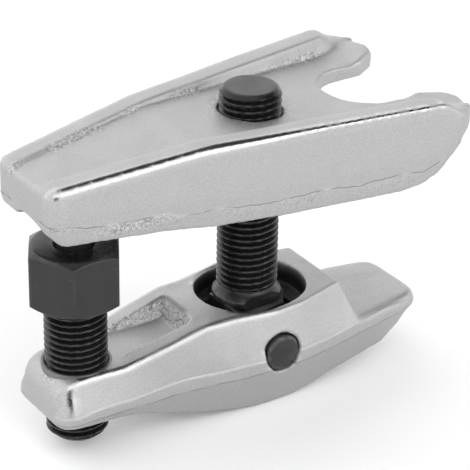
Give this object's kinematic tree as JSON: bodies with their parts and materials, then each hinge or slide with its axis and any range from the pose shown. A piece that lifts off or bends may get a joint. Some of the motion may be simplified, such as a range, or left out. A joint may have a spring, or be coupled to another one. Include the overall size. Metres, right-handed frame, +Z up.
{
  "type": "ball joint separator",
  "caption": "Forged lever separator: a forked jaw rocks on an eye stud over a lifting jaw and is driven by a pressure screw under its tail.",
  "frame": {"origin": "on the stud's axis, in the plane that the lower jaw's belly stands on", "axes": "+X from the stud towards the fork, +Z up along the stud, XZ is the plane of symmetry of both jaws"},
  "size_m": [0.1303, 0.0678, 0.097],
  "materials": {
    "plated_forging": "satin plated drop forging, slightly pitted",
    "black_oxide": "oiled black oxide, half gloss",
    "bare_steel": "ground and polished"
  },
  "bodies": {
    "lower": {"lower_jaw": "plated_forging", "cross_pin": "black_oxide"},
    "link": {"link_stud": "black_oxide"},
    "upper": {"upper_jaw": "plated_forging"},
    "thrust": {"thrust_pin": "black_oxide", "thrust_ball": "bare_steel"},
    "screw": {"pressure_screw": "black_oxide", "retaining_ring": "bare_steel"}
  },
  "joints": [
    {"name": "screw_feed", "type": "slide", "parent": "lower", "child": "thrust", "axis": [0, 0, 1], "range_m": [-0.01001, 0.00801]},
    {"name": "screw_turn", "type": "hinge", "parent": "thrust", "child": "screw", "pos_m": [-0.0575, 0, 0.03], "axis": [0, 0, 1], "range_deg": [-1800, 1440]},
    {"name": "jaw_tilt", "type": "hinge", "parent": "lower", "child": "link", "pos_m": [0, 0, 0.02], "axis": [0, 1, 0], "range_deg": [-9.98, 7.98]},
    {"name": "jaw_height", "type": "slide", "parent": "link", "child": "upper", "axis": [0, 0, 1], "range_m": [0, 0.006]}
  ],
  "couplings": [
    {"joint": "screw_feed", "follows": "screw_turn", "m_per_rad": 0.00031831},
    {"joint": "jaw_tilt", "follows": "screw_turn", "ratio": 0.0055358}
  ]
}
